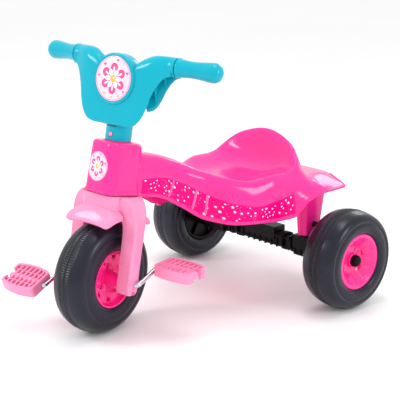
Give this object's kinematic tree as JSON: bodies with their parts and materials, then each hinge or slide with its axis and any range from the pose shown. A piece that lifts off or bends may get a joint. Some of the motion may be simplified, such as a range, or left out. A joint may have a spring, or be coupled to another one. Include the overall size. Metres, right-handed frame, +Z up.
{
  "type": "child tricycle",
  "caption": "Ride-on plastic tricycle: saddle shell on a rear axle beam, raked fork with direct front pedals, shield-shaped handlebar, fat moulded wheels.",
  "frame": {"origin": "centre of the overall box, on the floor", "axes": "+X to the rider's left, +Y to the back along the length, +Z up; the shortest side is the height"},
  "size_m": [0.495, 0.6136, 0.4892],
  "materials": {
    "pink_shell": "glossy moulded polypropylene",
    "pale_pink": "glossy moulded polypropylene",
    "hub_pink": "glossy moulded polypropylene",
    "teal": "glossy moulded polypropylene",
    "tyre": "satin blow-moulded black plastic tyre",
    "black_plastic": "semi-matt moulded black plastic",
    "bush_plastic": "natural acetal",
    "zinc_steel": "bright zinc-plated steel",
    "button_pink": "glossy moulded plastic",
    "star_sticker": "printed vinyl sticker with white stars",
    "badge_print": "printed vinyl sticker"
  },
  "bodies": {
    "frame": {"body_shell": "pink_shell", "rear_beam": "black_plastic", "rear_axle": "zinc_steel", "tower_bush_lower": "bush_plastic", "tower_bush_upper": "bush_plastic", "tower_badge": "badge_print", "rear_leg_left": "pink_shell", "rear_leg_right": "pink_shell", "leg_bolt_left": "black_plastic", "leg_bolt_right": "black_plastic", "side_sticker_left": "star_sticker", "side_sticker_right": "star_sticker", "axle_washer_left": "zinc_steel", "axle_washer_right": "zinc_steel", "axle_cap_left": "black_plastic", "axle_cap_right": "black_plastic"},
    "steering": {"fork": "pale_pink", "handlebar": "teal", "handlebar_badge": "badge_print", "lock_spring": "zinc_steel", "grip_left": "teal", "grip_right": "teal", "fork_bush_left": "bush_plastic", "fork_bush_right": "bush_plastic"},
    "lock_button": {"lock_button": "button_pink"},
    "front_wheel": {"front_tyre": "tyre", "crank_rod": "zinc_steel", "hub_screws": "zinc_steel", "front_hub_left": "hub_pink", "front_hub_right": "hub_pink", "pedal_cap_left": "pale_pink", "pedal_cap_right": "pale_pink"},
    "pedal_left": {"pedal_left": "pale_pink"},
    "pedal_right": {"pedal_right": "pale_pink"},
    "rear_wheel_left": {"rear_tyre_left": "tyre", "rear_hub_outer_left": "hub_pink", "rear_hub_inner_left": "hub_pink"},
    "rear_wheel_right": {"rear_tyre_right": "tyre", "rear_hub_outer_right": "hub_pink", "rear_hub_inner_right": "hub_pink"}
  },
  "joints": [
    {"name": "steering_turn", "type": "hinge", "parent": "frame", "child": "steering", "pos_m": [0, -0.18866, 0.1], "axis": [0, 0.1736, 0.9848], "range_deg": [-52, 28]},
    {"name": "lock_button_press", "type": "slide", "parent": "steering", "child": "lock_button", "axis": [-0.2079, 0.9633, -0.1699], "range_m": [0, 0.004], "stiffness_N_per_m": 400, "springref_m": -0.002},
    {"name": "front_wheel_spin", "type": "hinge", "parent": "steering", "child": "front_wheel", "pos_m": [0, -0.18866, 0.1], "axis": [0.9781, 0.2048, -0.0361], "continuous": true},
    {"name": "pedal_left_spin", "type": "hinge", "parent": "front_wheel", "child": "pedal_left", "pos_m": [0.10568, -0.10461, 0.11619], "axis": [0.9781, 0.2048, -0.0361], "continuous": true},
    {"name": "pedal_right_spin", "type": "hinge", "parent": "front_wheel", "child": "pedal_right", "pos_m": [-0.10568, -0.27272, 0.08381], "axis": [0.9781, 0.2048, -0.0361], "continuous": true},
    {"name": "rear_wheel_left_spin", "type": "hinge", "parent": "frame", "child": "rear_wheel_left", "pos_m": [0.21, 0.21433, 0.0925], "axis": [1, 0, 0], "continuous": true},
    {"name": "rear_wheel_right_spin", "type": "hinge", "parent": "frame", "child": "rear_wheel_right", "pos_m": [-0.21, 0.21433, 0.0925], "axis": [1, 0, 0], "continuous": true}
  ]
}
